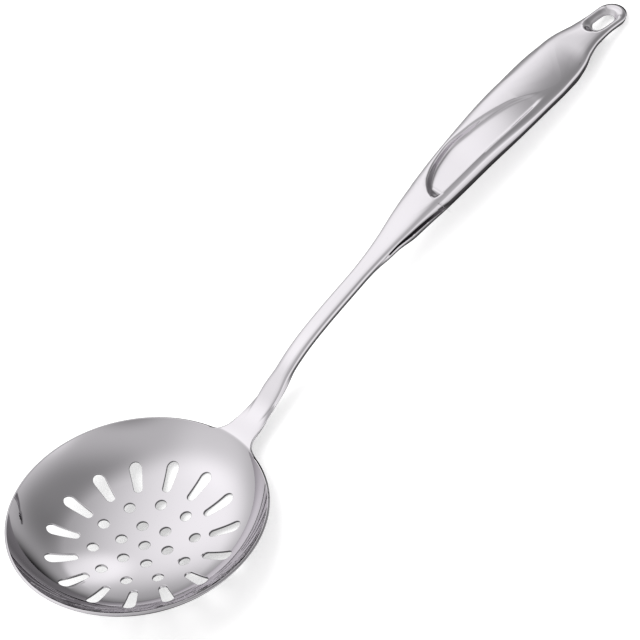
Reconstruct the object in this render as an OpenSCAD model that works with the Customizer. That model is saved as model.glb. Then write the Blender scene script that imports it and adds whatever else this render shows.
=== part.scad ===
// Kitchen skimmer pressed from one sheet of stainless steel.
// The dish is a revolved sheet with a pierced floor. A tongue leaves its rim, folds down at both
// sides into the shank, and closes into the hollow grip with a thumb recess and a hang loop.
// It lies as it rests on a table: the dish on its curved floor and the grip on the end of its loop.

/* [Sheet] */
// Thickness of the sheet
sheet = 1.2; // [0.8:0.1:1.6]

/* [Dish] */
// Diameter over the rim
dish_d = 114.4; // [100:0.2:130]
// Height of the rim over the middle of the floor, inside
dish_depth = 20; // [17:0.5:23]
// Radius of the nearly flat floor, in section
floor_r = 127; // [118:1:140]
// Radius of the wall, in section
wall_r = 39; // [30:1:42]

/* [Holes] */
// Slots in the outer ring
slot_count = 15; // [9:1:18]
// Radius at which a slot starts
slot_in = 28.4; // [27:0.2:30]
// Radius at which a slot ends
slot_out = 42.4; // [38:0.2:44]
// Width of a slot at its outer end
slot_w = 5.4; // [4:0.1:6]
// Width of a slot at its inner end
slot_w_in = 3.8; // [2.5:0.1:4.5]
// Diameter of the round holes
hole_d = 5; // [3:0.1:6]
// Round holes in the outer and in the inner ring
ring_counts = [10, 6];
// Radii of the two rings
ring_radii = [22, 11];
// Angle by which the pattern is turned against the grip
pattern_turn = -6; // [-12:1:12]

/* [Tongue and shank] */
// Length of the tongue, from the rim to the narrowest place
neck_len = 38; // [30:1:50]
// Width of the tongue where its fillets end
neck_w = 15.6; // [12:0.5:20]
// Radius of the fillets between tongue and rim
neck_fillet = 6; // [3:0.5:7]
// Length of the shank
shank_len = 60; // [40:1:80]
// Width of the shank
shank_w = 8; // [7:0.2:11]
// Depth of the shank's folded sides
shank_h = 4.6; // [4:0.2:6]

/* [Grip] */
// Length of the grip, up to the loop
grip_len = 130; // [116:1:150]
// Greatest width of the grip
grip_w = 25; // [20:0.5:30]
// Greatest depth of the grip
grip_h = 15.6; // [12:0.5:18]
// Gap between the folded edges under the grip
seam = 0.4; // [0.3:0.1:1]
// Depth of the crease where the folded sides leave the shank
crease = 1.4; // [0:0.1:2]

/* [Thumb recess] */
// Length of the recess
thumb_len = 79; // [60:1:85]
// Distance from the start of the grip to the recess
thumb_start = 36; // [30:1:42]
// Depth of its floor
thumb_depth = 3.6; // [2:0.1:4.5]
// Width of the grip's edge that is left beside it
thumb_edge = 2.6; // [2:0.1:4]

/* [Hang loop] */
// Length of the loop
loop_len = 34.5; // [28:0.5:40]
// Width of the loop at the middle of its hole
loop_w = 14.4; // [13.6:0.2:18]
// Depth of the loop's folded edge
loop_h = 4.4; // [4:0.1:5.4]
// Depth to which the loop is dished around its hole
loop_dish = 2; // [1:0.1:2.4]
// Length and width of the hang hole
hang_len = 12; // [10:0.2:14]
// Width of the hang hole
hang_w = 6.6; // [5:0.2:7]

/* [Hidden] */

// Dish section: a floor arc and a wall arc that are tangent to each other and end in the rim
rim_mid = [(dish_d - sheet) / 2, dish_depth];
to_rim = rim_mid - [0, floor_r];
arc_gap = floor_r - wall_r;
wall_from = atan2(to_rim[0], -to_rim[1])
    - acos((norm(to_rim) ^ 2 + arc_gap ^ 2 - (wall_r + sheet / 2) ^ 2) / (2 * arc_gap * norm(to_rim)));
wall_c = [arc_gap * sin(wall_from), floor_r - arc_gap * cos(wall_from)];
wall_to = atan2(rim_mid[0] - wall_c[0], wall_c[1] - rim_mid[1]);

// Places along the top line, from the rim
s_shank = neck_len;
s_grip = s_shank + shank_len;
s_loop = s_grip + grip_len;
s_end = s_loop + loop_len;
loop_r = loop_w / 2;
s_hang = s_end - loop_r - 4.6;

// The tongue starts inside the sheet of the dish, a little below its inner face
line_step = 0.5;
line_from = -2;
neck_inset = 0.08;
from_angle = wall_to + line_from / wall_r * 180 / PI;
line_start = wall_c + (wall_r + neck_inset) * [sin(from_angle), -cos(from_angle)];

// Rise of the top line against the plane of the rim, in degrees
rise = [
    [line_from, from_angle], [0, wall_to], [neck_len * 0.05, 24], [neck_len * 0.16, 19],
    [neck_len * 0.37, 28.5], [neck_len * 0.63, 38.5], [neck_len * 0.89, 38.5],
    [s_shank + shank_len * 0.1, 31.5], [s_shank + shank_len * 0.33, 23.5], [s_grip - shank_len * 0.33, 19.5],
    [s_grip, 21.5], [s_grip + grip_len * 0.11, 24.5], [s_grip + grip_len * 0.26, 22],
    [s_grip + grip_len * 0.42, 19], [s_grip + grip_len * 0.59, 15.5], [s_grip + grip_len * 0.77, 13.5],
    [s_grip + grip_len * 0.915, 8.5], [s_loop + loop_len * 0.12, 3], [s_loop + loop_len * 0.53, 0.5],
    [s_end, 0]];

// Cross sections: place, half width, height of the crown over the widest level, depth of the
// folded sides, squareness above and below the widest level, and how far a side turns, in degrees
sections = [
    [line_from, neck_w / 2 + 0.4, 0.4, sheet * 0.82, 5, 6, 30],
    [neck_len * 0.21, neck_w * 0.465, 0.6, sheet * 1.13, 5, 6, 30],
    [neck_len * 0.42, neck_w * 0.41, 0.9, sheet * 1.5, 5, 6, 30],
    [neck_len * 0.7, shank_w * 0.64, 1.4, shank_h * 0.7, 4, 6, 32],
    [s_shank, shank_w / 2, 1.8, shank_h, 3.2, 7, 34],
    [s_grip - shank_len * 0.17, shank_w / 2, 1.8, shank_h, 3.2, 7, 34],
    [s_grip, shank_w * 0.56, 2, shank_h * 1.05, 3, 5, 40],
    [s_grip + grip_len * 0.085, grip_w * 0.22, 2.3, grip_h * 0.54, 2.8, 2.8, 84],
    [s_grip + grip_len * 0.16, grip_w * 0.28, 2.7, grip_h * 0.82, 2.7, 2.3, 90],
    [s_grip + grip_len * 0.32, grip_w * 0.4, 4, grip_h * 0.95, 2.7, 2.1, 90],
    [s_grip + grip_len * 0.48, grip_w * 0.467, 4.8, grip_h, 2.6, 2.1, 90],
    [s_grip + grip_len * 0.68, grip_w * 0.515, 5, grip_h * 1.03, 2.4, 2.1, 90],
    [s_grip + grip_len * 0.85, grip_w * 0.52, 4.8, grip_h * 1.08, 2.3, 2.1, 90],
    [s_grip + grip_len * 0.94, grip_w * 0.495, 4, grip_h * 1.06, 2.4, 2.2, 90],
    [s_loop, mix(grip_w, loop_w, 0.22) / 2, 3, loop_h * 2.9, 2.5, 2.6, 88],
    [s_loop + loop_len * 0.16, mix(grip_w, loop_w, 0.52) / 2, 2.4, loop_h * 1.5, 2.6, 4, 46],
    [s_loop + loop_len * 0.36, mix(grip_w, loop_w, 0.82) / 2, 2.1, loop_h * 1.2, 2.6, 5, 38],
    [s_hang, loop_w / 2, 1.9, loop_h, 2.7, 6, 36],
    [s_end, loop_w / 2, 1.8, loop_h, 2.7, 6, 36]];

// Left edge of the thumb recess, as place along it and share of the way to the right edge
thumb_curve = [[0, 1], [0.03, 0.6], [0.1, 0.22], [0.2, 0.04], [0.3, 0], [0.45, 0.16], [0.7, 0.5], [1, 1]];

function mix(a, b, t) = a + (b - a) * t;
function clamp(v, a, b) = max(a, min(b, v));
function soft(t) = let (c = clamp(t, 0, 1)) c * c * (3 - 2 * c);

// Smooth curve through the rows of a table, read at place s in column c
function slope(t, c, i) =
    i <= 0 || i >= len(t) - 1 ? 0
    : let (a = (t[i][c] - t[i - 1][c]) / (t[i][0] - t[i - 1][0]),
           b = (t[i + 1][c] - t[i][c]) / (t[i + 1][0] - t[i][0]))
      a * b <= 0 ? 0 : 2 * a * b / (a + b);
function row(t, s, i = 0) = i >= len(t) - 2 || s < t[i + 1][0] ? i : row(t, s, i + 1);
function at(t, c, s) =
    let (i = row(t, s), d = t[i + 1][0] - t[i][0], k = clamp((s - t[i][0]) / d, 0, 1),
         m0 = slope(t, c, i) * d, m1 = slope(t, c, i + 1) * d)
    (2 * k ^ 3 - 3 * k ^ 2 + 1) * t[i][c] + (k ^ 3 - 2 * k ^ 2 + k) * m0
    + (3 * k ^ 2 - 2 * k ^ 3) * t[i + 1][c] + (k ^ 3 - k ^ 2) * m1;

// Top line of tongue, shank, grip and loop in the plane of symmetry, in steps along its length
line = [for (s = line_from, p = line_start; s <= s_end + line_step;
             p = p + line_step * [cos(at(rise, 1, s)), sin(at(rise, 1, s))], s = s + line_step) p];
function line_at(s) =
    let (k = clamp((s - line_from) / line_step, 0, len(line) - 1.001), i = floor(k))
    mix(line[i], line[i + 1], k - i);
function up_at(s) = [-sin(at(rise, 1, s)), cos(at(rise, 1, s))];

// Half width at s, with the fillets at the rim and the round end of the loop
function fillet_w(s) = s >= neck_fillet ? 0
    : neck_fillet - sqrt(neck_fillet ^ 2 - (neck_fillet - max(s, 0)) ^ 2);
function end_w(s, r) = let (d = s - (s_end - loop_r)) d <= 0 ? r : sqrt(max(r ^ 2 - d ^ 2, 0.01));
function half_w(s) = min(at(sections, 1, s) + fillet_w(s),
    s > s_end - loop_r ? end_w(s, loop_r) : grip_w);

// Edges and depth of what is sunk into the top: the thumb recess and the dish around the hang hole
thumb_from = s_grip + thumb_start;
hang_r = hang_w / 2;
dish_r = loop_r - 2.4;
function in_thumb(s) = s > thumb_from && s < thumb_from + thumb_len;
function loop_half(s) =
    let (d = abs(s - s_hang) - (hang_len - hang_w) / 2) d <= 0 ? dish_r : sqrt(max(dish_r ^ 2 - d ^ 2, 0));
function away(s) = soft(max(thumb_from - s, s - thumb_from - thumb_len, 0) / 14);
function right_edge(s) = loop_half(s) > 0.3 ? -loop_half(s)
    : mix(-(half_w(s) - thumb_edge), -half_w(s) * 0.4, away(s));
function left_edge(s) = loop_half(s) > 0.3 ? loop_half(s)
    : mix(mix(half_w(s) - thumb_edge, right_edge(s) + 0.6, at(thumb_curve, 1, clamp((s - thumb_from) / thumb_len, 0, 1))),
          half_w(s) * 0.4, away(s));
function sunk(s) =
    in_thumb(s) ? thumb_depth * soft((s - thumb_from) / 5) * soft((thumb_from + thumb_len - s) / (thumb_len * 0.75))
    : loop_half(s) > 0.3 ? loop_dish : 0;

// One point of a rounded quarter: w and h are its half axes and m its squareness
function quarter(w, h, m, a) = [w * sign(cos(a)) * abs(cos(a)) ^ (2 / m), h * abs(sin(a)) ^ (2 / m)];
// Angle at which the quarter reaches y
function angle_of(y, w, m) = let (k = clamp(abs(y) / w, 0, 1) ^ (m / 2)) y >= 0 ? acos(k) : 180 - acos(k);

side_n = 4;
shoulder_n = 3;
floor_n = 3;
ramp = 1.7;
// Cross section of one face of the sheet, from the right lip over the top to the left lip
function face(s, w, q, h, m, n, lip, drop) =
    let (yl = left_edge(s), yr = right_edge(s), wide = yl - yr, r = min(ramp, wide * 0.3),
         al = angle_of(yl, w, m), ar = angle_of(yr, w, m), deep = sunk(s),
         level = (quarter(w, q, m, al)[1] + quarter(w, q, m, ar)[1]) / 2 - q - deep,
         cr = crease * soft((s - s_grip - 4) / 8) * soft((thumb_from + 6 - s) / 14),
         side = [for (k = [1 : side_n]) let (p = quarter(w, h, n, lip * k / side_n))
                     [p[0] - (k == 1 ? cr : 0), -q - p[1]]],
         over = function (y) quarter(w, q, m, angle_of(y, w, m))[1] - q,
         sink = [for (y = [yl - r / 2, yl - r, each [for (k = [1 : floor_n]) mix(yl - r, yr + r, k / (floor_n + 1))],
                           yr + r, yr + r / 2])
                     [y, deep > 0 ? mix(over(y), level, soft(min(yl - y, y - yr) / r)) : over(y)]])
    [each [for (k = [side_n - 1 : -1 : 0]) [-max(side[k][0], seam / 2), side[k][1] - drop]],
     each [for (k = [0 : shoulder_n]) let (p = quarter(w, q, m, 180 - (180 - ar) * k / shoulder_n)) [p[0], p[1] - q - drop]],
     each [for (k = [len(sink) - 1 : -1 : 0]) [sink[k][0], sink[k][1] - drop]],
     each [for (k = [shoulder_n : -1 : 0]) let (p = quarter(w, q, m, al * k / shoulder_n)) [p[0], p[1] - q - drop]],
     each [for (p = side) [max(p[0], seam / 2), p[1] - drop]]];

// The ring of points at s: the outer face and back along the inner one, which ends at the loop's tip
function ring(s) =
    let (w = half_w(s), q = at(sections, 2, s), deep = at(sections, 3, s),
         m = at(sections, 4, s), n = at(sections, 5, s), lip = at(sections, 6, s),
         t = sheet * mix(0.7, 1, soft(s / 8)), part = sin(lip) ^ (2 / n),
         qi = max(q - t, 0.03), inner_h = deep - t - qi - t * soft((lip - 40) / 50),
         outer = face(s, w, q, (deep - q) / part, m, n, lip, 0),
         inner = face(s, w - t, qi, max(inner_h, 0.02) / part, m, n, lip, t),
         last = len(outer) - 1)
    [each outer,
     each [for (k = [last : -1 : 0])
         s < s_end - 2 * sheet ? inner[k] : mix(outer[0], outer[last], (k + 1) / (last + 2)) + [0, 0.1]]];

function place(s, p) =
    let (o = line_at(s) + p[1] * up_at(s), back = (o[0] - sqrt(o[0] ^ 2 - p[0] ^ 2)) * soft(1 - s / 14))
    [o[0] - back, p[0], o[1]];

stations = [
    -2, -0.8, 0, 0.5, 1.1, 2, 3.2, 4.8, 7, each [for (k = [1 : 7]) mix(7, s_shank, k / 7)],
    each [for (k = [1 : 5]) mix(s_shank, s_grip, k / 6)],
    each [for (k = [0 : 10]) mix(s_grip, thumb_from, k / 11)],
    each [for (k = [0.01, 1, 2.2, 4, 6, 8.5]) thumb_from + k],
    each [for (k = [1 : 13]) mix(thumb_from + 8.5, thumb_from + thumb_len - 0.01, k / 13)],
    each [for (k = [1 : 7]) mix(thumb_from + thumb_len, s_hang - 9, k / 7)],
    each [for (k = [1 : 6]) mix(s_hang - 9, s_end - loop_r, k / 6)],
    each [for (a = [20 : 12 : 80]) s_end - loop_r + loop_r * sin(a)]];

module shank_and_grip() {
    rings = [for (s = stations) ring(s)];
    points = [for (i = [0 : len(stations) - 1]) each [for (p = rings[i]) place(stations[i], p)]];
    n = len(rings[0]);
    half = n / 2;
    last = len(stations) - 1;
    sides = [for (i = [0 : last - 1], j = [0 : n - 1])
        [i * n + j, i * n + (j + 1) % n, (i + 1) * n + (j + 1) % n, (i + 1) * n + j]];
    start = [for (j = [0 : half - 2]) [j, n - 1 - j, n - 2 - j, j + 1]];
    finish = [for (j = [0 : half - 2]) [for (k = [j + 1, n - 2 - j, n - 1 - j, j]) last * n + k]];
    polyhedron(points, [each sides, each start, each finish]);
}

// Points of an arc round c, from one angle to the other; 0 degrees points straight down
function arc(c, r, from, to, steps) =
    [for (k = [0 : steps]) let (a = mix(from, to, k / steps)) c + r * [sin(a), -cos(a)]];

module dish_section() {
    floor_c = [0, floor_r];
    polygon([
        each arc(floor_c, floor_r, 0, wall_from, 8),
        each [for (k = [1 : 9]) arc(wall_c, wall_r, wall_from, wall_to, 9)[k]],
        each [for (k = [1 : 5]) arc(rim_mid, sheet / 2, wall_to + 180, wall_to, 6)[k]],
        each [for (k = [9 : -1 : 1]) arc(wall_c, wall_r + sheet, wall_from, wall_to, 9)[k]],
        each arc(floor_c, floor_r + sheet, wall_from, 0, 8)]);
}

module slot() {
    ends = [[slot_in + slot_w_in / 2, slot_w_in / 2], [slot_out - slot_w / 2, slot_w / 2]];
    lean = asin((ends[1][1] - ends[0][1]) / (ends[1][0] - ends[0][0]));
    arcs = [[90 + lean, 270 - lean], [-90 - lean, 90 + lean]];
    polygon([for (e = [0, 1], k = [0 : 8]) let (a = mix(arcs[e][0], arcs[e][1], k / 8))
        ends[e][0] * [1, 0] + ends[e][1] * [cos(a), sin(a)]]);
}

module pattern() {
    rotate(pattern_turn) {
        for (k = [0 : slot_count - 1]) rotate((k + 0.5) * 360 / slot_count) slot();
        for (r = [0, 1], k = [0 : ring_counts[r] - 1])
            rotate(k * 360 / ring_counts[r]) translate([ring_radii[r], 0]) circle(d = hole_d, $fn = 16);
        circle(d = hole_d, $fn = 16);
    }
}

module dish() {
    difference() {
        rotate_extrude($fn = 48) dish_section();
        translate([0, 0, -2 * sheet]) linear_extrude(dish_depth) pattern();
    }
}

module hang_hole() {
    o = line_at(s_hang);
    translate([o[0], 0, o[1]]) rotate([0, -at(rise, 1, s_hang), 0]) translate([0, 0, -2 * loop_h])
        linear_extrude(4 * loop_h) {
            for (x = [-1, 1]) translate([x * (hang_len - hang_w) / 2, 0]) circle(d = hang_w, $fn = 16);
            square([hang_len - hang_w, hang_w], center = true);
        }
}

// Tilt at rest: the line that touches the dish from below and the end of the loop
end_low = line_at(s_end) - loop_h * up_at(s_end);
function tilt_to(c, r) = let (d = c - end_low) asin(r / norm(d)) - atan2(d[1], -d[0]);
floor_tilt = tilt_to([0, floor_r], floor_r + sheet);
rest_tilt = floor_tilt <= wall_from ? floor_tilt : tilt_to(wall_c, wall_r + sheet);
function turned(p) = [p[0] * cos(rest_tilt) + p[1] * sin(rest_tilt), p[1] * cos(rest_tilt) - p[0] * sin(rest_tilt)];
rest_z = turned(end_low)[1];
far_x = turned([-rim_mid[0], rim_mid[1]])[0] - sheet / 2;
end_x = turned(line_at(s_end))[0];

module skimmer() {
    color("silver")
        translate([-(far_x + end_x) / 2, 0, -rest_z]) rotate([0, rest_tilt, 0])
            difference() {
                union() {
                    dish();
                    shank_and_grip();
                }
                hang_hole();
            }
}

skimmer();
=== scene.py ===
# %% [markdown]
# # A kitchen skimmer of pressed stainless steel
# The real skimmer is one sheet of steel. It is blanked and pierced flat, the dish is pressed, and the
# tongue at its rim is folded into a shank and a hollow grip. This lesson makes it as one skin without
# thickness: the dish already pressed, then its holes, then the tongue. Solidify then gives the sheet its
# gauge, and Bevel breaks its cut edges.

# %% Load the frame
from math import acos, asin, atan2, ceil, cos, degrees, exp, hypot, pi, radians, sin, sqrt

import bmesh
import bpy
from mathutils import Matrix, Vector


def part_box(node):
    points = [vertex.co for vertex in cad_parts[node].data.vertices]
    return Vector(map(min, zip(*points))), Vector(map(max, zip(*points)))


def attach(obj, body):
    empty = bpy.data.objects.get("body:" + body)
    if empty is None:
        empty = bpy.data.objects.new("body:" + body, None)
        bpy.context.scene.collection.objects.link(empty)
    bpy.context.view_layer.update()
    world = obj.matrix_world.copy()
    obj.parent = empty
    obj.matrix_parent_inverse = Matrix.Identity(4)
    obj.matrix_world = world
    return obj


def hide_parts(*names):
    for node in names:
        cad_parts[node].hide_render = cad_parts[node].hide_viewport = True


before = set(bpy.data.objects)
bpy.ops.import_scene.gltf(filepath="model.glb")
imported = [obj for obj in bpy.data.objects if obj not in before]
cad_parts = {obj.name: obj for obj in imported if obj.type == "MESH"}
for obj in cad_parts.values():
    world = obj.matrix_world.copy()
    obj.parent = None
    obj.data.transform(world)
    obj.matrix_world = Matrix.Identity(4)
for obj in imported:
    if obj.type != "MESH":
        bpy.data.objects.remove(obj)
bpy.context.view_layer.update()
print("solids:", sorted(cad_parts))

# %% [markdown]
# ## Sizes
# All sizes are in millimetres, in the frame of the dish: x runs towards the grip, z up from the middle
# of the dish's floor, and y = 0 is the grip's plane of symmetry. They are the solid's own, but for the
# crease and the dent in the loop, which are deeper here, and the hang hole, which is a little smaller.

# %% Sizes of the sheet, the dish and its holes
MM = 0.001
SHEET, EDGE_R = 1.2, 0.26
DISH_D, DISH_DEPTH, FLOOR_R, WALL_R = 114.4, 20, 127, 39
SLOTS, SLOT_IN, SLOT_OUT, SLOT_W, SLOT_W_IN = 15, 28.4, 42.4, 5.4, 3.8
HOLE_D = 5
RINGS = ((22, 10), (11, 6))
PATTERN_TURN = -6
print("dish:", DISH_D, "mm across,", SLOTS, "slots and", sum(count for _, count in RINGS), "holes in rings")

# %% Sizes of the tongue, the shank, the grip and the loop
NECK_LEN, NECK_W, NECK_FILLET = 38, 15.6, 6
SHANK_LEN, SHANK_W, SHANK_H = 60, 8, 4.6
GRIP_LEN, GRIP_W, GRIP_H, SEAM, CREASE = 130, 25, 15.6, 0.4, 3.4
THUMB_LEN, THUMB_START, THUMB_DEPTH, THUMB_EDGE = 79, 36, 3.6, 2.6
LOOP_LEN, LOOP_W, LOOP_H, LOOP_DISH, HANG_LEN, HANG_W, HANG_BACK = 34.5, 14.4, 4.4, 3.1, 11.2, 5.8, 4.6
print("handle:", NECK_LEN + SHANK_LEN + GRIP_LEN + LOOP_LEN, "mm along its top line")

# %% [markdown]
# ## Curves from a few rows
# The line of the grip and its cross sections are given at a few places. Between them a smooth curve is
# needed that never swings past its rows, so its slope in a row is the harmonic mean of both sides.


# %% Helpers for smooth curves
def mix(a, b, t):
    return a + (b - a) * t


def soft(t):
    """A step from 0 to 1 with soft ends."""
    t = min(1, max(0, t))
    return t * t * (3 - 2 * t)


def read(table, col, s):
    """The value of one column at s, on a smooth curve through the table's rows."""
    rows = len(table)
    i = 0
    while i < rows - 2 and s >= table[i + 1][0]:
        i += 1
    step = table[i + 1][0] - table[i][0]
    k = min(1, max(0, (s - table[i][0]) / step))

    def slope(j):
        if j <= 0 or j >= rows - 1:
            return 0
        a = (table[j][col] - table[j - 1][col]) / (table[j][0] - table[j - 1][0])
        b = (table[j + 1][col] - table[j][col]) / (table[j + 1][0] - table[j][0])
        return 0 if a * b <= 0 else 2 * a * b / (a + b)

    return ((2 * k**3 - 3 * k**2 + 1) * table[i][col] + (k**3 - 2 * k**2 + k) * slope(i) * step
            + (3 * k**2 - 2 * k**3) * table[i + 1][col] + (k**3 - k**2) * slope(i + 1) * step)


print("halfway up a soft step:", soft(0.5))

# %% [markdown]
# ## The side view
# In section the dish is a nearly flat arc for the floor and a tighter one for the wall, and the two meet
# without a kink. The handle's top line goes on from the rim. A list of slopes draws it, because a slope
# is easy to read off a picture, and adding it up in small steps gives the points.

# %% Section of the dish
rim_x = (DISH_D - SHEET) / 2
reach = hypot(rim_x, FLOOR_R - DISH_DEPTH)
gap = FLOOR_R - WALL_R
wall_from = degrees(atan2(rim_x, FLOOR_R - DISH_DEPTH)
                    - acos((reach**2 + gap**2 - (WALL_R + SHEET / 2)**2) / (2 * gap * reach)))
wall_c = (gap * sin(radians(wall_from)), FLOOR_R - gap * cos(radians(wall_from)))
wall_to = degrees(atan2(rim_x - wall_c[0], wall_c[1] - DISH_DEPTH))
tangent_r = FLOOR_R * sin(radians(wall_from))


def dish_z(r):
    """Height of the inner face of the dish at radius r."""
    if r <= tangent_r:
        return FLOOR_R - sqrt(FLOOR_R**2 - r**2)
    return wall_c[1] - sqrt(WALL_R**2 - (r - wall_c[0])**2)


print(f"the wall starts at {wall_from:.1f} degrees and ends at {wall_to:.1f}")

# %% Places along the top line, from the rim to the end of the loop
S_SHANK = NECK_LEN
S_GRIP = S_SHANK + SHANK_LEN
S_LOOP = S_GRIP + GRIP_LEN
S_END = S_LOOP + LOOP_LEN
LOOP_R = LOOP_W / 2
S_CENTRE = S_END - LOOP_R
S_HANG = S_CENTRE - HANG_BACK
THUMB_FROM = S_GRIP + THUMB_START
print(f"the recess starts {THUMB_FROM} mm from the rim and the hang hole's middle lies at {S_HANG:.1f} mm")

# %% The top line from its slopes in degrees
RISE = [
    (0, wall_to), (NECK_LEN * 0.05, 24), (NECK_LEN * 0.16, 19), (NECK_LEN * 0.37, 28.5),
    (NECK_LEN * 0.63, 38.5), (NECK_LEN * 0.89, 38.5), (S_SHANK + SHANK_LEN * 0.1, 31.5),
    (S_SHANK + SHANK_LEN * 0.33, 23.5), (S_GRIP - SHANK_LEN * 0.33, 19.5), (S_GRIP, 21.5),
    (S_GRIP + GRIP_LEN * 0.11, 24.5), (S_GRIP + GRIP_LEN * 0.26, 22), (S_GRIP + GRIP_LEN * 0.42, 19),
    (S_GRIP + GRIP_LEN * 0.59, 15.5), (S_GRIP + GRIP_LEN * 0.77, 13.5), (S_GRIP + GRIP_LEN * 0.915, 8.5),
    (S_LOOP + LOOP_LEN * 0.12, 3), (S_LOOP + LOOP_LEN * 0.53, 0.5), (S_END, 0)]

LINE_STEP = 0.25
top_line = [(wall_c[0] + WALL_R * sin(radians(wall_to)), wall_c[1] - WALL_R * cos(radians(wall_to)))]
while len(top_line) * LINE_STEP < S_END + 2:
    rise = radians(read(RISE, 1, (len(top_line) - 1) * LINE_STEP))
    x, z = top_line[-1]
    top_line.append((x + LINE_STEP * cos(rise), z + LINE_STEP * sin(rise)))


def line_at(s):
    """The point (x, z) of the top line at s."""
    k = min(max(s, 0) / LINE_STEP, len(top_line) - 1.001)
    i = int(k)
    a, b = top_line[i], top_line[i + 1]
    return mix(a[0], b[0], k - i), mix(a[1], b[1], k - i)


print(f"the loop ends at x = {line_at(S_END)[0]:.1f} mm")

# %% [markdown]
# ## The cross section
# Seen along its length the folded sheet is a C that is open below. Each side is two rounded quarters
# that meet at the widest level: one for the crown and one for the side that folds down and round.
# A superellipse draws both, because its squareness changes the soft grip into the flat shank.

# %% Cross sections: place, half width, crown, depth, squareness of crown and side, fold in degrees
SECTIONS = [
    (0, NECK_W / 2 + 0.4, 0.05, 0.1, 4, 6, 30),
    (NECK_LEN * 0.21, NECK_W * 0.465, 0.3, 0.5, 4, 6, 30),
    (NECK_LEN * 0.42, NECK_W * 0.41, 0.8, 1.5, 4, 6, 30),
    (NECK_LEN * 0.7, SHANK_W * 0.64, 1.4, SHANK_H * 0.7, 4, 6, 32),
    (S_SHANK, SHANK_W / 2, 1.8, SHANK_H, 3.2, 7, 34),
    (S_GRIP - SHANK_LEN * 0.17, SHANK_W / 2, 1.8, SHANK_H, 3.2, 7, 34),
    (S_GRIP, SHANK_W * 0.56, 1.7, SHANK_H * 1.05, 3, 5, 40),
    (S_GRIP + GRIP_LEN * 0.085, GRIP_W * 0.22, 1.6, GRIP_H * 0.54, 2.8, 2.8, 84),
    (S_GRIP + GRIP_LEN * 0.16, GRIP_W * 0.28, 1.9, GRIP_H * 0.82, 2.7, 2.3, 90),
    (S_GRIP + GRIP_LEN * 0.32, GRIP_W * 0.4, 4, GRIP_H * 0.95, 2.7, 2.1, 90),
    (S_GRIP + GRIP_LEN * 0.48, GRIP_W * 0.467, 4.8, GRIP_H, 2.6, 2.1, 90),
    (S_GRIP + GRIP_LEN * 0.68, GRIP_W * 0.515, 5, GRIP_H * 1.03, 2.4, 2.1, 90),
    (S_GRIP + GRIP_LEN * 0.85, GRIP_W * 0.52, 5, GRIP_H * 1.08, 2.05, 2.1, 90),
    (S_GRIP + GRIP_LEN * 0.94, GRIP_W * 0.495, 4.4, GRIP_H * 1.06, 2.05, 2.2, 90),
    (S_LOOP, mix(GRIP_W, LOOP_W, 0.22) / 2, 3.3, LOOP_H * 2.9, 2.2, 2.6, 88),
    (S_LOOP + LOOP_LEN * 0.16, mix(GRIP_W, LOOP_W, 0.52) / 2, 2.4, LOOP_H * 1.5, 2.6, 4, 46),
    (S_LOOP + LOOP_LEN * 0.36, mix(GRIP_W, LOOP_W, 0.82) / 2, 2.1, LOOP_H * 1.2, 2.6, 5, 38),
    (S_HANG, LOOP_W / 2, 1.9, LOOP_H, 2.7, 6, 36),
    (S_END, LOOP_W / 2, 1.8, LOOP_H, 2.7, 6, 36)]


def half_w(s):
    """Half the width at s, with the fillets that lead into the rim."""
    fillet = 0
    if s < NECK_FILLET:
        fillet = NECK_FILLET - sqrt(NECK_FILLET**2 - (NECK_FILLET - max(s, 0))**2)
    return read(SECTIONS, 1, s) + fillet


print(f"width at the root {2 * half_w(0):.1f} mm, of the shank {2 * half_w(S_SHANK):.1f} mm")

# %% [markdown]
# ## The crown and its belly
# Behind the recess the grip swells, and this belly faces a little to the right. So the crown's highest
# line moves to the left there, and the right half of the crown gets more depth. Both come and go softly.

# %% Height of the crown
BELLY_FROM, BELLY_RISE, BELLY_TO, BELLY_FALL = 58, 40, 13, 16
BELLY_SHIFT, BELLY_DEEPER = 0.42, 0.3


def belly(s):
    """1 on the belly behind the recess, and 0 well before and after it."""
    return soft((s - S_GRIP - BELLY_FROM) / BELLY_RISE) * soft((S_LOOP + BELLY_TO - s) / BELLY_FALL)


def crown_depth(s, side):
    """Depth of the crown at s, on the left side (above 0) or on the right one (below 0)."""
    return read(SECTIONS, 2, s) * (1 + BELLY_DEEPER * belly(s) if side < 0 else 1)


def crown_u(s, y):
    """Height of the crown at y, measured up from the top line, so that it is 0 or less."""
    share = max(-1, min(1, y / half_w(s)))
    share -= BELLY_SHIFT * belly(s) * (1 - share**2)
    crown, m = crown_depth(s, share), read(SECTIONS, 4, s)
    return crown * max(0, 1 - abs(share)**m)**(1 / m) - crown


print(f"the crown of the belly is {crown_depth(S_LOOP - 20, -1):.1f} mm deep on its right")

# %% [markdown]
# ## The thumb recess
# A rest for the thumb is pressed into the crown. Its right edge runs straight along the grip. Its left
# edge opens fast from a round tip and then sweeps back slowly, until both meet. A few rows give
# that sweep, and the depth fades where the recess gets narrow.

# %% Outline and depth of the recess
THUMB_CURVE = [(0, 1), (0.03, 0.6), (0.1, 0.22), (0.2, 0.04), (0.3, 0), (0.45, 0.16), (0.7, 0.5), (1, 1)]
TIP_W, AWAY_LEN, AWAY_SHARE = 0.6, 14, 0.4
DEEP_AFTER, DEEP_FROM_W, FADE_SHARE = 7, 7, 0.75


def thumb_edges(s):
    """The right and left edge of the recess; beyond its ends they spread evenly over the crown."""
    w = half_w(s)
    away = soft(max(THUMB_FROM - s, s - THUMB_FROM - THUMB_LEN, 0) / AWAY_LEN)
    right = -(w - THUMB_EDGE)
    share = read(THUMB_CURVE, 1, min(1, max(0, (s - THUMB_FROM) / THUMB_LEN)))
    left = mix(w - THUMB_EDGE, right + TIP_W, share)
    return mix(right, -w * AWAY_SHARE, away), mix(left, w * AWAY_SHARE, away)


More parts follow.
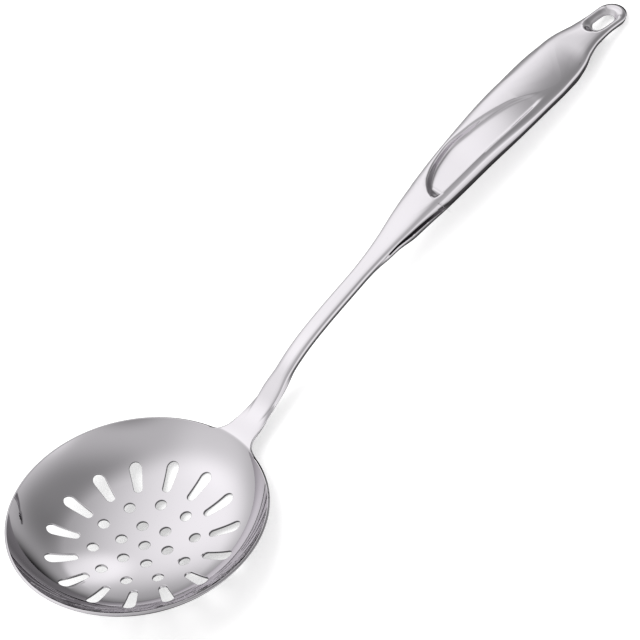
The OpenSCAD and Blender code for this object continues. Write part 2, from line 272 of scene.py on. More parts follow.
def thumb_depth(s):
    """Depth of the bed of the recess, and 0 outside it."""
    into, left_over = s - THUMB_FROM, THUMB_FROM + THUMB_LEN - s
    right, left = thumb_edges(s)
    narrow = soft((left - right) / DEEP_FROM_W)
    return THUMB_DEPTH * soft(into / DEEP_AFTER) * narrow * soft(left_over / (THUMB_LEN * FADE_SHARE))


print(f"a third of the way along, the recess is {thumb_depth(THUMB_FROM + THUMB_LEN / 3):.1f} mm deep")

# %% [markdown]
# ## Lips and crease
# The lips below the flanges tuck in a little, at the shank and again at the loop. Where the grip
# starts, the folding die leaves a narrow crease along both sides, high up under the crown. Soft steps
# of some millimetres, given by where they start and how long they are, let both come and go.

# %% How far the sides are drawn in
TUCK_SHANK, TUCK_LOOP = 0.9, 0.8
UNDERCUT = (0.05, 0.95, 1, 0.2, 0.12, 0.1, 0.08, 0.06, 0.05, 0.04, 0.03, 0.02, 0.01, 0)


def tuck_at(s):
    """How far the lip is tucked in; further up the side it is less."""
    at_shank = TUCK_SHANK * soft((s - S_SHANK + 8) / 10) * soft((S_GRIP + 6 - s) / 10)
    return at_shank + TUCK_LOOP * soft((s - S_LOOP - 4) / 8)


def crease_at(s):
    """Depth of the crease; UNDERCUT says which share of it each point of a side gets."""
    return CREASE * soft((s - S_GRIP - 4) / 8) * soft((THUMB_FROM + 6 - s) / 14)


print(f"the crease is {crease_at((S_GRIP + THUMB_FROM) / 2):.1f} mm deep in its middle")

# %% [markdown]
# ## One whole section
# The points go from the right lip over the crown to the left lip. There are always as many, so that each
# row of the strip meets the next one, and they lie close on the slopes of the recess.

# %% Points of a section
SIDE_N, SHOULDER_N, RAMP_N, BED_N = 14, 6, 6, 8
RAMP, RAMP_SHARE = 1.7, 0.3
LEAN_AFTER, LEAN_LEN, SHALLOW = 14, 40, 0.6


def shoulder(s, w, m, y_edge, sign):
    """Points of the crown from the widest place up to the edge of the recess."""
    a_edge = acos(min(1, abs(y_edge) / w)**(m / 2))
    if y_edge * sign <= 0:
        a_edge = pi - a_edge
    pts = []
    for k in range(SHOULDER_N + 1):
        a = a_edge * (k / SHOULDER_N)**(m / 2)
        y = w * (1 if cos(a) >= 0 else -1) * abs(cos(a))**(2 / m)
        pts.append((sign * y, crown_u(s, sign * y)))
    return pts


def side(s, w, sign):
    """Points of one side from the widest place down to the lip."""
    deep, n, fold = (read(SECTIONS, col, s) for col in (3, 5, 6))
    crown = crown_depth(s, sign)
    side_h = (deep - crown) / sin(radians(fold))**(2 / n)
    tuck, groove = tuck_at(s), crease_at(s)
    pts = []
    for k in range(1, SIDE_N + 1):
        a = radians(fold) * (k / SIDE_N)**(n / 2)
        y, down = w * max(0, cos(a))**(2 / n), side_h * sin(a)**(2 / n)
        y -= groove * UNDERCUT[k - 1] + tuck * k / SIDE_N
        pts.append((sign * max(y, SEAM / 2), -crown - down))
    return pts


def bed(s, right, left):
    """Points across the recess: slope, bed and slope. The bed leans more and more with the crown."""
    ramp = min(RAMP, (left - right) * RAMP_SHARE)
    across = [mix(right, right + ramp, k / RAMP_N) for k in range(1, RAMP_N + 1)]
    across += [mix(right + ramp, left - ramp, k / BED_N) for k in range(1, BED_N)]
    across += [mix(left - ramp, left, k / RAMP_N) for k in range(RAMP_N)]
    edge_l, edge_r, depth = crown_u(s, left), crown_u(s, right), thumb_depth(s)
    lean = soft((s - THUMB_FROM - LEAN_AFTER) / LEAN_LEN)
    pts = []
    for y in across:
        share = soft(min(left - y, y - right) / ramp) * soft(depth / SHALLOW)
        leaning = mix(edge_r, edge_l, (y - right) / (left - right))
        level = mix((edge_l + edge_r) / 2, leaning, lean) - depth
        pts.append((y, mix(crown_u(s, y), level, share)))
    return pts


def section(s):
    """Points (y, u) from the right lip to the left one; u is the height above the top line."""
    w, m = half_w(s), read(SECTIONS, 4, s)
    right, left = thumb_edges(s)
    crown = shoulder(s, w, m, right, -1) + bed(s, right, left) + shoulder(s, w, m, left, 1)[::-1]
    return side(s, w, -1)[::-1] + crown + side(s, w, 1)


COLUMNS = 2 * (SIDE_N + SHOULDER_N + RAMP_N) + BED_N
print("edges across the strip:", COLUMNS, "points:", len(section(S_SHANK)))

# %% [markdown]
# ## The holes
# Slots and round holes are the same thing here: two end circles and the straight sides between them.
# For a round hole both circles are one. Three things are asked of a hole: how near a point is,
# which points its outline has, and the faces that lead from there to the mesh around it.


# %% A hole as its two end circles
def capsule(centre, turn, half_gap, r0, r1):
    """Two circles (x, y, radius) that lie half_gap to either side of a centre."""
    dx, dy = half_gap * cos(turn), half_gap * sin(turn)
    return (centre[0] - dx, centre[1] - dy, r0), (centre[0] + dx, centre[1] + dy, r1)


def hole_near(hole, x, y):
    """Place along the hole from 0 to 1, distance to its outline and direction away from it."""
    (x0, y0, r0), (x1, y1, r1) = hole
    length2 = (x1 - x0)**2 + (y1 - y0)**2
    k = min(1, max(0, ((x - x0) * (x1 - x0) + (y - y0) * (y1 - y0)) / length2)) if length2 else 0
    cx, cy = mix(x0, x1, k), mix(y0, y1, k)
    d = hypot(x - cx, y - cy)
    return k, d - mix(r0, r1, k), ((x - cx) / d, (y - cy) / d)


turn = radians(PATTERN_TURN)
middle = (SLOT_IN + SLOT_OUT + SLOT_W_IN / 2 - SLOT_W / 2) / 2
half_gap = (SLOT_OUT - SLOT_IN - SLOT_W_IN / 2 - SLOT_W / 2) / 2
holes = []
for k in range(SLOTS):
    a = turn + 2 * pi * (k + 0.5) / SLOTS
    holes.append(capsule((middle * cos(a), middle * sin(a)), a, half_gap, SLOT_W_IN / 2, SLOT_W / 2))
for ring_r, count in RINGS:
    for k in range(count):
        a = turn + 2 * pi * k / count
        holes.append(capsule((ring_r * cos(a), ring_r * sin(a)), 0, 0, HOLE_D / 2, HOLE_D / 2))
print("holes to pierce:", len(holes), "and the one in the middle, which the spin leaves open")

# %% The outline of a hole
ROUND_N, IN_N, OUT_N, LONG_N = 36, 14, 16, 9


def outline(hole, offset=0, bulge=0):
    """Points on a hole's outline, moved out by an offset and a little more halfway along it."""
    (x0, y0, r0), (x1, y1, r1) = hole
    length = hypot(x1 - x0, y1 - y0)

    def cap(x, r, a_from, a_to, steps):
        angles = [mix(a_from, a_to, k / steps) for k in range(steps + 1)]
        return [(x + (r + offset) * cos(a), (r + offset) * sin(a)) for a in angles]

    def long_side(shares, sign):
        pts = []
        for k in shares:
            r = mix(r0, r1, k) + offset + bulge * 4 * k * (1 - k)
            pts.append((k * length - r * sin(lean), sign * r * cos(lean)))
        return pts

    if length == 0:
        return [(x0 + x, y0 + y) for x, y in cap(0, r0, 0, 2 * pi, ROUND_N)[:-1]]
    lean, heading = asin((r1 - r0) / length), atan2(y1 - y0, x1 - x0)
    shares = [k / LONG_N for k in range(1, LONG_N)]
    pts = cap(0, r0, pi / 2 + lean, 3 * pi / 2 - lean, IN_N) + long_side(shares, -1)
    pts += cap(length, r1, -pi / 2 - lean, pi / 2 + lean, OUT_N) + long_side(shares[::-1], 1)
    dx, dy = cos(heading), sin(heading)
    return [(x0 + x * dx - y * dy, y0 + x * dy + y * dx) for x, y in pts]


print("points round a slot:", len(outline(holes[0])), "and round a hole:", len(outline(holes[-1])))

# %% Let a hole into the mesh
RING_W, RING_BULGE = 0.3, 0.1


def pierce(bm, hole, around, lift):
    """Lets one hole in: its outline, a ring of narrow faces, and a fill up to the faces around it."""
    rim = [bm.verts.new(lift(x, y)) for x, y in outline(hole)]
    rim_edges = [bm.edges.new((rim[i - 1], rim[i])) for i in range(len(rim))]
    made = bmesh.ops.extrude_edge_only(bm, edges=rim_edges)["geom"]
    fresh = {v for v in made if isinstance(v, bmesh.types.BMVert)}
    for vert, (x, y) in zip(rim, outline(hole, RING_W, RING_BULGE)):
        mate = next(e.other_vert(vert) for e in vert.link_edges if e.other_vert(vert) in fresh)
        mate.co = lift(x, y)
    ring = [e for e in made if isinstance(e, bmesh.types.BMEdge) and all(v in fresh for v in e.verts)]
    bmesh.ops.triangle_fill(bm, use_beauty=True, edges=ring + around, normal=(0, 0, 1))


print("the faces next to a hole are", RING_W, "mm wide")

# %% [markdown]
# ## The dish
# The dish is a body of revolution, so its section is spun. The stretch that carries the tongue is spun
# in finer steps, one for each edge across the strip.

# %% Spin the dish
root_x, root_z = line_at(0)
root_angle = asin(half_w(0) / root_x)
REST_N, FLOOR_STEP, WALL_STEP = 240, 1.1, 0.9
JOIN = 2e-3

section_line = []
arc = FLOOR_R * asin(HOLE_D / 2 / FLOOR_R)
while arc < FLOOR_R * radians(wall_from):
    section_line.append((FLOOR_R * sin(arc / FLOOR_R), FLOOR_R * (1 - cos(arc / FLOOR_R))))
    arc += FLOOR_STEP
wall_n = ceil(radians(wall_to - wall_from) * WALL_R / WALL_STEP)
for k in range(wall_n + 1):
    a = radians(mix(wall_from, wall_to, k / wall_n))
    section_line.append((wall_c[0] + WALL_R * sin(a), wall_c[1] - WALL_R * cos(a)))

bm = bmesh.new()
for start, angle, steps in ((-root_angle, 2 * root_angle, COLUMNS),
                            (root_angle, 2 * pi - 2 * root_angle, REST_N)):
    verts = [bm.verts.new((r * cos(start), r * sin(start), z)) for r, z in section_line]
    profile = [bm.edges.new(pair) for pair in zip(verts, verts[1:])]
    bmesh.ops.spin(bm, geom=verts + profile, cent=(0, 0, 0), axis=(0, 0, 1), angle=angle, steps=steps)
bmesh.ops.remove_doubles(bm, verts=bm.verts, dist=JOIN)
print("faces of the unpierced dish:", len(bm.faces))

# %% [markdown]
# ## Pierce the dish
# The faces over a hole are taken out, and the open edges that this leaves are moved to an even distance
# from the hole. Then the outline goes in, and the strip between the two is filled. A cut with a
# boolean would leave slivers there, and polished metal shows each of them.

# %% Take out the faces over the holes
CLEAR, BULGE = 1.0, 0.2
SLOTS_END_R, WALL_CLEAR_R, MIDDLE_R = 46, 50, 3


def nearest_hole(x, y):
    """Number of the hole that is nearest, and what hole_near says of it."""
    i = min(range(len(holes)), key=lambda j: hole_near(holes[j], x, y)[1])
    return i, *hole_near(holes[i], x, y)


over = []
for face in bm.faces:
    x, y, _ = face.calc_center_median()
    if hypot(x, y) < SLOTS_END_R and nearest_hole(x, y)[2] < CLEAR:
        over.append(face)
bmesh.ops.delete(bm, geom=over, context="FACES")
print("faces taken out:", len(over))


# %% Set the open edges round the holes and pierce them
def on_dish(x, y):
    return Vector((x, y, dish_z(hypot(x, y))))


def find_open_edges():
    """The open edges round each hole, but not those at the rim or in the middle."""
    found = {}
    for edge in bm.edges:
        x, y, _ = (edge.verts[0].co + edge.verts[1].co) / 2
        if edge.is_boundary and HOLE_D / 2 + 0.1 < hypot(x, y) < WALL_CLEAR_R:
            found.setdefault(nearest_hole(x, y)[0], []).append(edge)
    return found


for i, open_round in find_open_edges().items():
    for vert in {v for e in open_round for v in e.verts}:
        k, d, away = hole_near(holes[i], vert.co.x, vert.co.y)
        shift = CLEAR + BULGE * 4 * k * (1 - k) - d
        vert.co = on_dish(vert.co.x + shift * away[0], vert.co.y + shift * away[1])
loose = [v for v in bm.verts if v.is_boundary and MIDDLE_R < hypot(v.co.x, v.co.y) < WALL_CLEAR_R]
bmesh.ops.remove_doubles(bm, verts=loose, dist=0.25)
open_edges = find_open_edges()
for i, hole in enumerate(holes):
    pierce(bm, hole, open_edges[i], on_dish)
print("faces of the pierced dish:", len(bm.faces))

# %% [markdown]
# ## The tongue, the shank and the grip
# The edges at the root are drawn out again and again, and each new row is set on its cross section.
# The rows lie close where the form turns fast: at the root, along the recess and at the loop.

# %% Where the points of a row go
BOW_LEN, FOLD_FROM, FOLD_LEN, CROWN_LEN = 14, 6, 24, 12
POCKET_EDGE, POCKET_SLOPE, POCKET_STRETCH = 1.5, 3.4, 1.45


def set_down(s, y, u):
    """The place of a section point, in the frame of the dish. Next to the rim a row bows with it."""
    x, z = line_at(s)
    rise = radians(read(RISE, 1, s))
    x, z = x - u * sin(rise), z + u * cos(rise)
    bow = (x - sqrt(x * x - y * y)) * soft(1 - s / BOW_LEN)
    return Vector((x - bow, y, z))


def pocket(s, y):
    """Depth of the dent round the hang hole; it is drawn out towards the grip."""
    flat = (HANG_LEN - HANG_W) / 2
    d = hypot(max(s - S_HANG - flat, (S_HANG - flat - s) / POCKET_STRETCH, 0), y)
    return LOOP_DISH * soft((LOOP_R - POCKET_EDGE - d) / POCKET_SLOPE)


def row_at(s):
    """The section at s. Next to the rim the strip is still flat, and its sides fold down little by little."""
    pts = section(s)
    fold = soft((s - FOLD_FROM) / FOLD_LEN)
    if fold < 1:
        w, crown = half_w(s), read(SECTIONS, 2, s) * soft(s / CROWN_LEN)
        flat = [w * (2 * j / COLUMNS - 1) for j in range(COLUMNS + 1)]
        flat = [(y, -crown * (y / w)**4) for y in flat]
        pts = [(mix(a[0], b[0], fold), mix(a[1], b[1], fold)) for a, b in zip(flat, pts)]
    return pts


print(f"the dent is {pocket(S_HANG, 0):.1f} mm deep in its middle")


# %% Where the rows go
def row_step(s):
    """Distance in millimetres from the row at s to the next one."""
    if s < 15:
        return 0.05 + 0.4 * sqrt(s / 6) if s < 6 else 0.7
    if s > S_HANG - 14:
        return 0.55
    if THUMB_FROM - 2 < s < THUMB_FROM + 50:
        return 0.35 if s < THUMB_FROM + 8 else 0.6
    return 1.3 if s < S_GRIP else 1.0


stations = [0.03]
while stations[-1] + row_step(stations[-1]) < S_CENTRE - 0.3:
    stations.append(stations[-1] + row_step(stations[-1]))
stations.append(S_CENTRE)
print("rows before the end of the loop:", len(stations))

# %% Draw the strip out of the rim
CREASE_FACES = (1, 2, 3)
SLOPE = slice(COLUMNS - SIDE_N - SHOULDER_N - RAMP_N - 2, COLUMNS - SIDE_N - SHOULDER_N + 2)
rim_ring = [v for v in bm.verts if abs(hypot(v.co.x, v.co.y) - root_x) < 1e-3 and abs(v.co.z - root_z) < 1e-3]
row = sorted((v for v in rim_ring if abs(atan2(v.co.y, v.co.x)) < root_angle + 1e-4), key=lambda v: v.co.y)


def draw_out(bm, row, places):
    """Extrudes a row of vertices and sets the new ones on their places."""
    row_edges = [bm.edges.get(pair) for pair in zip(row, row[1:])]
    made = bmesh.ops.extrude_edge_only(bm, edges=row_edges)["geom"]
    fresh = {v for v in made if isinstance(v, bmesh.types.BMVert)}
    following = [next(e.other_vert(v) for e in v.link_edges if e.other_vert(v) in fresh) for v in row]
    for vert, place in zip(following, places):
        vert.co = place
    return following


def finish_and_shade_crease(row):
    """Gives the newest faces in both creases the second material: unpolished steel whose dark colour is
    painted shade.
    """
    for i in CREASE_FACES:
        for j in (SIDE_N - 1 - i, COLUMNS - SIDE_N + i):
            face = next(f for f in row[j].link_faces if row[j + 1] in f.verts)
            face.material_index = 1


print("points in the root row:", len(row))
left_slope = []
for s in stations:
    row = draw_out(bm, row, [set_down(s, y, u - pocket(s, y)) for y, u in row_at(s)])
    left_slope += [(s - THUMB_FROM, v) for v in row[SLOPE]]
    # Faces in the crease get the unpolished material, whose dark colour is painted shade.
    if S_GRIP + 7 < s < THUMB_FROM - 1:
        finish_and_shade_crease(row)
print("faces with the strip:", len(bm.faces))

# %% [markdown]
# ## Smooth the swept slope
# The left slope of the recess runs across the rows at a slant, so a mirror shows small knots where it
# crosses from one column to the next. A few rounds of smoothing take them out. Each round covers a
# shorter stretch, so that the smoothing fades towards both ends.

# %% Smooth the left slope of the recess
ROUNDS, SLOPE_FROM, SLOPE_TO = 4, 1, 60
for i in range(ROUNDS):
    inner = [v for along, v in left_slope if SLOPE_FROM + 3 * i < along < SLOPE_TO - 8 * i]
    bmesh.ops.smooth_vert(bm, verts=inner, factor=0.5, use_axis_x=True, use_axis_y=True, use_axis_z=True)
print("points in the last round:", len(inner))

# %% [markdown]
# ## The end of the loop
# The last section turns about the loop's centre, each half towards its own side, until it meets itself
# behind the hang hole. The hole is then pierced as the ones in the dish are.

# %% Turn the last section round the end
TURN_N = 20
end_section = row_at(S_CENTRE)
for k in range(1, TURN_N + 1):
    a = pi / 2 * k / TURN_N
    places = []
    for y, u in end_section:
        s_turn, y_turn = S_CENTRE + abs(y) * sin(a), y * cos(a)
        places.append(set_down(s_turn, y_turn, u - pocket(s_turn, y_turn)))
    row = draw_out(bm, row, places)
bmesh.ops.remove_doubles(bm, verts=bm.verts, dist=JOIN)
print("rows:", len(stations) + TURN_N, "faces:", len(bm.faces))

# %% The hang hole
HANG_OUT, HANG_CLEAR, HANG_RING, LOOP_FACES = 0.75, 0.8, 2, 12
hang_x, hang_z = line_at(S_HANG)
hang_rise = radians(read(RISE, 1, S_HANG))
hang_hole = capsule((S_HANG, 0), 0, (HANG_LEN - HANG_W) / 2, HANG_W / 2, HANG_W / 2)


def along_line(co):
    return S_HANG + (co.x - hang_x) * cos(hang_rise) + (co.z - hang_z) * sin(hang_rise)


def on_loop(s, y):
    wide = y if s < S_CENTRE else hypot(y, s - S_CENTRE)
    return set_down(s, y, crown_u(min(s, S_CENTRE), wide) - pocket(s, y))


def near_hang(co):
    return hole_near(hang_hole, along_line(co), co.y)


loop_faces = [f for f in bm.faces if f.calc_center_median().x > hang_x - LOOP_FACES]
over = [f for f in loop_faces if near_hang(f.calc_center_median())[1] < HANG_OUT]
bmesh.ops.delete(bm, geom=over, context="FACES")
ring = [e for e in bm.edges if e.is_boundary and e.verts[0].co.x > hang_x - LOOP_FACES
        and max(near_hang(v.co)[1] for v in e.verts) < HANG_RING]
for vert in {v for e in ring for v in e.verts}:
    s, y = along_line(vert.co), vert.co.y
    k, d, away = hole_near(hang_hole, s, y)
    shift = HANG_CLEAR + BULGE * 4 * k * (1 - k) - d
    vert.co = on_loop(s + shift * away[0], y + shift * away[1])
pierce(bm, hang_hole, ring, on_loop)
print("edges round the hang hole:", len(ring))

# %% [markdown]
# ## Lay it down
# The skimmer rests on the curved floor of its dish and on the lip at the end of its loop. The tilt
# between the frame of the dish and the table follows from the circle and the point that touch the table.

# %% The tilt at rest
low = (line_at(S_END)[0], line_at(S_END)[1] - read(SECTIONS, 3, S_END))


def tilt_to(centre, radius):
    """The tilt that sets a circle and the low point on one level."""
    dx, dz = centre[0] - low[0], centre[1] - low[1]
    return asin(radius / hypot(dx, dz)) - atan2(dz, -dx)


tilt = tilt_to((0, FLOOR_R), FLOOR_R + SHEET)
if degrees(tilt) > wall_from:
    tilt = tilt_to(wall_c, WALL_R + SHEET)
print("tilt at rest:", round(degrees(tilt), 2), "degrees")

# %% Turn the faces outwards and set the mesh where the solid lies
bmesh.ops.recalc_face_normals(bm, faces=bm.faces)
if sum(f.normal.z * f.calc_area() for f in bm.faces) < 0:
    bmesh.ops.reverse_faces(bm, faces=bm.faces)
for face in bm.faces:
    face.smooth = True
bmesh.ops.transform(bm, matrix=Matrix.Rotation(tilt, 4, "Y"), verts=bm.verts)

TIP_GAP = 0.02
tip_x = max(v.co.x for v in bm.verts)
lowest = low[1] * cos(tilt) - low[0] * sin(tilt)
move = Vector((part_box("skimmer")[1].x / MM - tip_x - TIP_GAP, 0, -lowest))
bmesh.ops.translate(bm, vec=move, verts=bm.verts)
bmesh.ops.scale(bm, vec=(MM, MM, MM), verts=bm.verts)
mesh = bpy.data.meshes.new("pressed_sheet")
bm.to_mesh(mesh)
bm.free()
skimmer = bpy.data.objects.new("pressed_sheet", mesh)
bpy.context.scene.collection.objects.link(skimmer)
print("vertices in the skin:", len(mesh.vertices))

# %% [markdown]
# ## Gauge and edges
# The skin becomes sheet with Solidify, which thickens it towards the back. A narrow Bevel breaks the cut
# edges, as tumbling does on the real part, and they catch the light. A wider one would make the holes
# look embossed.

# %% Give the skin its gauge and broken edges
gauge = skimmer.modifiers.new("gauge", "SOLIDIFY")
gauge.thickness = SHEET * MM
gauge.offset = -1
gauge.use_even_offset = True
gauge.use_quality_normals = True
broken = skimmer.modifiers.new("broken_edges", "BEVEL")
broken.width = EDGE_R * MM
broken.segments = 3
broken.limit_method = "ANGLE"
broken.angle_limit = radians(50)
broken.use_clamp_overlap = False
broken.harden_normals = True
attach(skimmer, "root")
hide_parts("skimmer")
print("modifiers:", [modifier.name for modifier in skimmer.modifiers])

# %% [markdown]
# ## Colours and nodes
# A colour is written as sRGB hex, as a colour picker shows it, and one function makes it linear. Another
# adds a node with its settings and links. There a name stands for an input or a property of the node,
# and a number for an input that shares its name with others.


# %% Colour and node helpers
def linear(hex_colour):
    """An sRGB hex colour as linear values."""
    parts = [int(hex_colour[i:i + 2], 16) / 255 for i in (0, 2, 4)]
    return [p / 12.92 if p <= 0.04045 else ((p + 0.055) / 1.055)**2.4 for p in parts] + [1]


def add(tree, kind, settings=None, links=None):
    """Adds a node, sets its inputs and properties, and links sockets into it."""
    node = tree.nodes.new(kind)
    for key, value in (settings or {}).items():
        if isinstance(key, int) or key in node.inputs:
            node.inputs[key].default_value = value
        else:
            setattr(node, key, value)
    for key, socket in (links or {}).items():
        tree.links.new(socket, node.inputs[key])
    return node


WHITE = (1, 1, 1, 1)
print("middle grey is", round(linear("bcbcbc")[0], 2), "in linear light")

# %% [markdown]
# ## Polished stainless steel
# The sheet is chromium-nickel steel, pressed and then polished with a wheel. It is a plain metal, with
# the faintest cast of mauve. The wheel leaves lanes some 18 mm wide that mirror more or less sharply, so
# the roughness wanders a little. Pressing leaves an orange peel that is finer than 1 mm and wouldn't
# show in the render, so it is drawn 2.4 mm wide. It lets long reflections waver a little.

# %% Polished stainless steel
LANE_MM, PEEL_MM, PEEL_DEPTH_MM = 18.18, 2.381, 0.0006
steel = bpy.data.materials.new("polished_stainless_steel")
steel.use_nodes = True
tree = steel.node_tree
shader = tree.nodes["Principled BSDF"]
shader.inputs["Base Color"].default_value = linear("c9c6ca")
shader.inputs["Metallic"].default_value = 1
where = add(tree, "ShaderNodeTexCoord").outputs["Object"]
lanes = add(tree, "ShaderNodeTexNoise", {"Scale": 1 / (LANE_MM * MM), "Detail": 4, "Roughness": 0.6},
            {"Vector": where})
peel = add(tree, "ShaderNodeTexNoise", {"Scale": 1 / (PEEL_MM * MM), "Detail": 2, "Roughness": 0.4},
           {"Vector": where})
gloss = add(tree, "ShaderNodeMapRange", {"From Min": 0.3, "From Max": 0.7, "To Min": 0.02, "To Max": 0.05},
            {"Value": lanes.outputs["Fac"]})
relief = add(tree, "ShaderNodeBump", {"Strength": 1, "Distance": PEEL_DEPTH_MM * MM},
             {"Height": peel.outputs["Fac"]})
tree.links.new(gloss.outputs["Result"], shader.inputs["Roughness"])
tree.links.new(relief.outputs["Normal"], shader.inputs["Normal"])
mesh.materials.append(steel)
print("finish:", steel.name)

# %% [markdown]
# ## Unpolished steel and painted shade in the crease
# The wheel doesn't reach into the crease at the start of the grip. The steel stays rougher there, with marks
# from the folding die that run along the grip. Its dark colour is painted shade, for the shade that falls
# into the crease. Real marks are finer than 0.1 mm and wouldn't show in the render, so they are drawn
# 0.4 mm wide and 4 mm long.

# %% Unpolished steel, darkened with painted shade
MARK_LEN_MM, MARK_W_MM, MARK_DEPTH_MM = 4, 0.4, 0.004
fold_finish_and_shade = bpy.data.materials.new("unpolished_fold_painted_shade")
fold_finish_and_shade.use_nodes = True
tree = fold_finish_and_shade.node_tree
shader = tree.nodes["Principled BSDF"]
# The dark base colour is painted shade in the crease; the steel itself is no darker there.
shader.inputs["Base Color"].default_value = linear("5a565a")
shader.inputs["Metallic"].default_value = 1
where = add(tree, "ShaderNodeTexCoord").outputs["Object"]
per_mark = (1 / (MARK_LEN_MM * MM), 1 / (MARK_W_MM * MM), 1 / (MARK_W_MM * MM))
stretched = add(tree, "ShaderNodeMapping", {"Scale": per_mark}, {"Vector": where})
marks = add(tree, "ShaderNodeTexNoise", {"Scale": 1, "Detail": 2}, {"Vector": stretched.outputs["Vector"]})
gloss = add(tree, "ShaderNodeMapRange", {"From Min": 0.3, "From Max": 0.7, "To Min": 0.25, "To Max": 0.35},
            {"Value": marks.outputs["Fac"]})
relief = add(tree, "ShaderNodeBump", {"Strength": 1, "Distance": MARK_DEPTH_MM * MM},
             {"Height": marks.outputs["Fac"]})
tree.links.new(gloss.outputs["Result"], shader.inputs["Roughness"])
tree.links.new(relief.outputs["Normal"], shader.inputs["Normal"])
mesh.materials.append(fold_finish_and_shade)
print("faces with this finish:", sum(face.material_index == 1 for face in mesh.polygons))

# %% [markdown]
# ## Floor
# The floor is matt white paper that glows a little for the camera, so that it turns out white while
# it still catches the object's shadow. Polished steel mirrors what is below it too. To glossy rays
# the floor is clear, so that they see the soft boxes on all sides, but for a painted shadow under the
# dish: a dim glowing patch that stands in for the shade beneath it.

# %% Floor mesh
FLOOR_HALF = 6
bm = bmesh.new()
bmesh.ops.create_grid(bm, x_segments=1, y_segments=1, size=FLOOR_HALF)
floor_mesh = bpy.data.meshes.new("floor")
bm.to_mesh(floor_mesh)
bm.free()
floor = bpy.data.objects.new("floor", floor_mesh)
bpy.context.scene.collection.objects.link(floor)
print("floor:", 2 * FLOOR_HALF, "m wide")

# %% White paper
# The last three numbers set the painted shadow under the dish: its glow and its inner and outer radius in mm.
GLOW, PAINTED_SHADOW_GLOW, SHADED_IN, SHADED_OUT = 0.43, 0.15, 40, 56
paper = bpy.data.materials.new("white_paper_sweep")
paper.use_nodes = True
tree = paper.node_tree
tree.nodes.remove(tree.nodes["Principled BSDF"])
path = add(tree, "ShaderNodeLightPath")
matt = add(tree, "ShaderNodeBsdfDiffuse", {"Color": linear("f4f4f4")})
glow = add(tree, "ShaderNodeEmission", {"Color": WHITE, "Strength": GLOW})
seen = add(tree, "ShaderNodeAddShader", {}, {0: matt.outputs[0], 1: glow.outputs[0]})
where = add(tree, "ShaderNodeTexCoord").outputs["Object"]
apart = add(tree, "ShaderNodeVectorMath", {"operation": "DISTANCE", 1: (move.x * MM, 0, 0)}, {0: where})
# A painted shadow: inside this patch glossy rays see a dim glow in place of the shade under the dish.
patch = add(tree, "ShaderNodeMapRange",
            {"From Min": SHADED_IN * MM, "From Max": SHADED_OUT * MM, "To Min": 1, "To Max": 0},
            {"Value": apart.outputs["Value"]})
clear = add(tree, "ShaderNodeBsdfTransparent")
painted_shadow = add(tree, "ShaderNodeEmission", {"Color": WHITE, "Strength": PAINTED_SHADOW_GLOW})
mirrored = add(tree, "ShaderNodeMixShader", {},
               {0: patch.outputs["Result"], 1: clear.outputs[0], 2: painted_shadow.outputs[0]})
for_gloss = add(tree, "ShaderNodeMixShader", {},
                {0: path.outputs["Is Glossy Ray"], 1: matt.outputs[0], 2: mirrored.outputs[0]})
for_camera = add(tree, "ShaderNodeMixShader", {},
                 {0: path.outputs["Is Camera Ray"], 1: for_gloss.outputs[0], 2: seen.outputs[0]})
tree.links.new(for_camera.outputs[0], tree.nodes["Material Output"].inputs["Surface"])
floor_mesh.materials.append(paper)
print(f"the shaded patch lies round x = {move.x:.1f} mm")

# %% [markdown]
# ## Soft boxes for the mirror
# A mirror has no look of its own. It shows the studio, so the bands of light and dark in the steel come
# from soft boxes and dark cards round it. Only glossy rays see them. Each is one term of a sum in the
# world, strength * exp(-x * x), where x grows with the angle from its middle. That gives a flat top with
# soft edges. A card takes light away, so its strength is below zero.

# %% Soft boxes and cards: azimuth, elevation and spread in degrees, and strength
SOFT_BOXES = [
    (66, 50, 27, 0.76),
    (60, -3, 12.7, -0.32),
    (-12, 37, 31.7, -0.5),
    (30, -28, 19, -0.85),
    (37, 20, 6.3, 0.55),
    (-76, 3, 13, 0.25),
    (-72, -26, 30, 0.5),
    (-38, 40, 22, 0.1),
    (142, 45, 22, 0.25),
    (-129, 21, 17, -0.35),
    (-30, -84, 21, -0.6),
    (76, -48, 22, -0.4)]
AMBIENT = 0.75

world = bpy.data.worlds.new("studio")
bpy.context.scene.world = world
world.use_nodes = True
tree = world.node_tree
ray = add(tree, "ShaderNodeTexCoord").outputs["Generated"]
level = None
for az, el, spread, strength in SOFT_BOXES:
    az, el, sharp = radians(az), radians(el), 1 / radians(spread)**2
    box_at = (cos(el) * cos(az), cos(el) * sin(az), sin(el))
    facing = add(tree, "ShaderNodeVectorMath", {"operation": "DOT_PRODUCT", 1: box_at}, {0: ray})
    away = add(tree, "ShaderNodeMath", {"operation": "MULTIPLY_ADD", 1: -sharp, 2: sharp},
               {0: facing.outputs["Value"]})
    squared = add(tree, "ShaderNodeMath", {"operation": "MULTIPLY"}, {0: away.outputs[0], 1: away.outputs[0]})
    shape = add(tree, "ShaderNodeMath", {"operation": "POWER", 0: exp(-1)}, {1: squared.outputs[0]})
    total = add(tree, "ShaderNodeMath", {"operation": "MULTIPLY_ADD", 1: strength, 2: AMBIENT},
                {0: shape.outputs[0]})
    if level:
        tree.links.new(level.outputs[0], total.inputs[2])
    level = total
cards = sum(strength < 0 for *_, strength in SOFT_BOXES)
print("soft boxes:", len(SOFT_BOXES) - cards, "and dark cards:", cards)

# %% [markdown]
# ## Plain light
# Everything else is lit by an even white sky and one large lamp above, at a level at which a colour
# renders about as it is written. The lamp isn't mirrored, because its square would show in the dish.

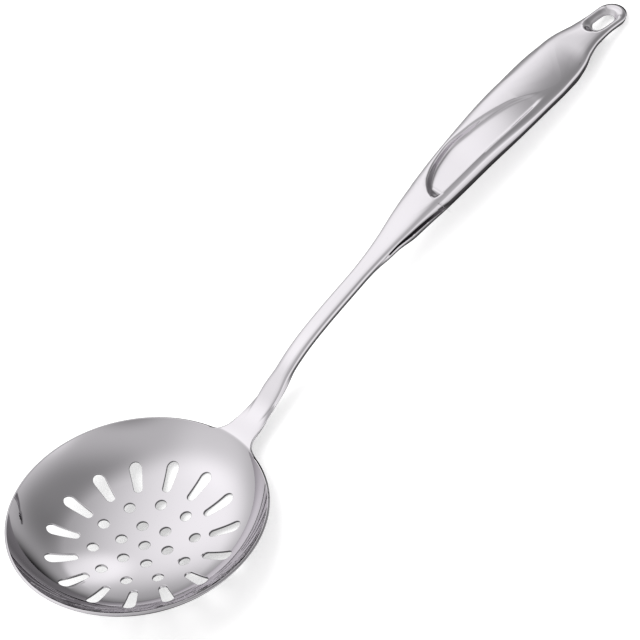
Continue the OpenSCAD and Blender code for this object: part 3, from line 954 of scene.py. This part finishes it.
# %% Sky
SKY = 0.75
sky = tree.nodes["Background"]
sky.inputs["Color"].default_value = WHITE
sky.inputs["Strength"].default_value = SKY
mirror_sky = add(tree, "ShaderNodeBackground", {"Color": WHITE}, {"Strength": level.outputs[0]})
path = add(tree, "ShaderNodeLightPath")
either = add(tree, "ShaderNodeMixShader", {},
             {0: path.outputs["Is Glossy Ray"], 1: sky.outputs[0], 2: mirror_sky.outputs[0]})
tree.links.new(either.outputs[0], tree.nodes["World Output"].inputs["Surface"])
print("sky level:", SKY)

# %% Lamp
lamp = bpy.data.lights.new("soft_box", "AREA")
lamp.size = 1.2
lamp.energy = 10
soft_box = bpy.data.objects.new("soft_box", lamp)
soft_box.location = (-0.2, 0.3, 1.7)
soft_box.visible_glossy = False
soft_box.rotation_euler = (Vector((0, 0, 0)) - soft_box.location).to_track_quat("-Z", "Y").to_euler()
bpy.context.scene.collection.objects.link(soft_box)
print("lamp:", lamp.energy, "W,", lamp.size, "m wide")

# %% [markdown]
# ## Camera
# A long lens looks down on the skimmer from its right side, rolled so that the grip rises to the upper
# right corner. Its angles and its aim are in the frame of the dish, so the tilt at rest is added.

# %% Camera
VIEW_AZ, VIEW_EL, VIEW_ROLL = -124.36, 43.73, -10.9
AIM = (95.83, -22.43, 77.1)
VIEW_DIST, FOCAL_PX, PICTURE_PX = 1661.8, 3955.2, 640
az, el = radians(VIEW_AZ), radians(VIEW_EL)
towards = Vector((cos(el) * cos(az), cos(el) * sin(az), sin(el)))
right = Vector((0, 0, 1)).cross(towards).normalized()
up = towards.cross(right)
roll = radians(VIEW_ROLL)
right, up = cos(roll) * right + sin(roll) * up, cos(roll) * up - sin(roll) * right
laid = Matrix.Rotation(tilt, 3, "Y")
lens = bpy.data.cameras.new("view")
lens.sensor_width = 36
lens.lens = FOCAL_PX / PICTURE_PX * lens.sensor_width
lens.clip_end = 20
view = bpy.data.objects.new("view", lens)
facing_to = (laid @ Matrix((right, up, towards)).transposed()).to_4x4()
place = (laid @ (Vector(AIM) + towards * VIEW_DIST) + move) * MM
view.matrix_world = Matrix.Translation(place) @ facing_to
bpy.context.scene.collection.objects.link(view)
bpy.context.scene.camera = view
bpy.context.scene.view_settings.view_transform = "Standard"
print(f"lens: {lens.lens:.0f} mm, {place.length:.2f} m from the skimmer's middle")
